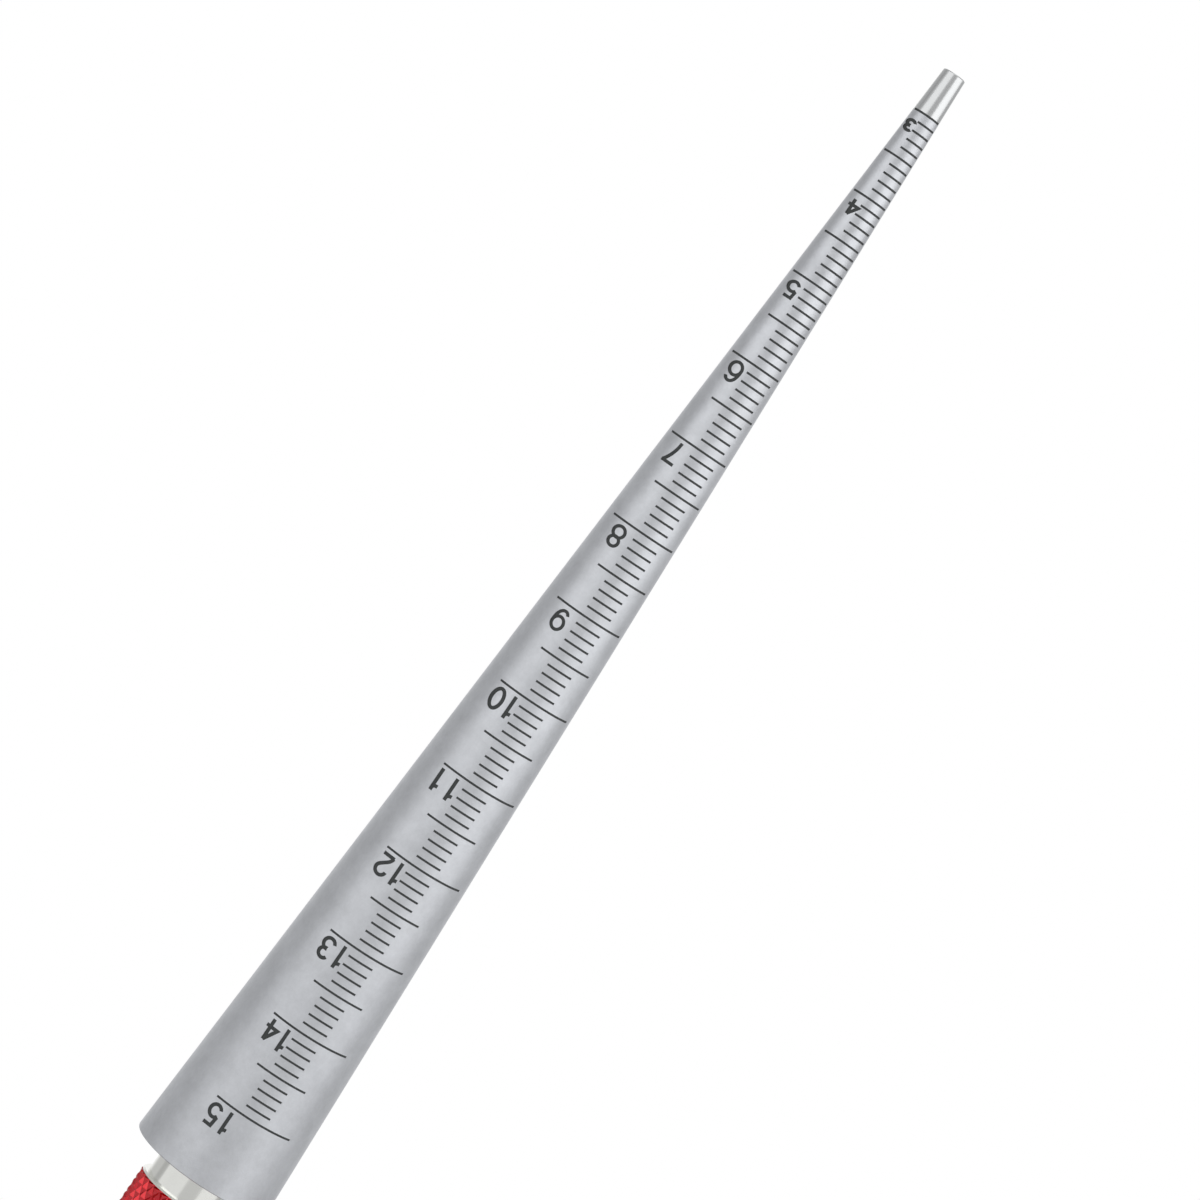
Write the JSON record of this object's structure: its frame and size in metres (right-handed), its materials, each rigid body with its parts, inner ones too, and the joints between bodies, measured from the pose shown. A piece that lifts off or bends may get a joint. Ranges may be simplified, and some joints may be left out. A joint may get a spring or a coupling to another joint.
{
  "type": "taper gauge",
  "caption": "Graduated steel cone that reads the diameter of a hole, with a short neck and a knurled round handle in red anodised aluminium.",
  "frame": {"origin": "middle of the flat end of the handle, which is the lowest point with the gauge stood up", "axes": "+Z along the gauge's axis from the handle to the tip; the scale faces -Y; +X is to the right of the scale"},
  "size_m": [0.0158, 0.0158, 0.2065],
  "materials": {
    "satin_steel": "satin chromed, bright at the tip and on the neck",
    "red_anodised": "red anodised, fine diamond knurl",
    "black_paint": "matt black paint in the engraving"
  },
  "bodies": {
    "root": {"gauge_body": "satin_steel", "handle": "red_anodised", "whole_lines": "black_paint", "half_lines": "black_paint", "tenth_lines": "black_paint", "numerals": "black_paint"}
  },
  "joints": []
}
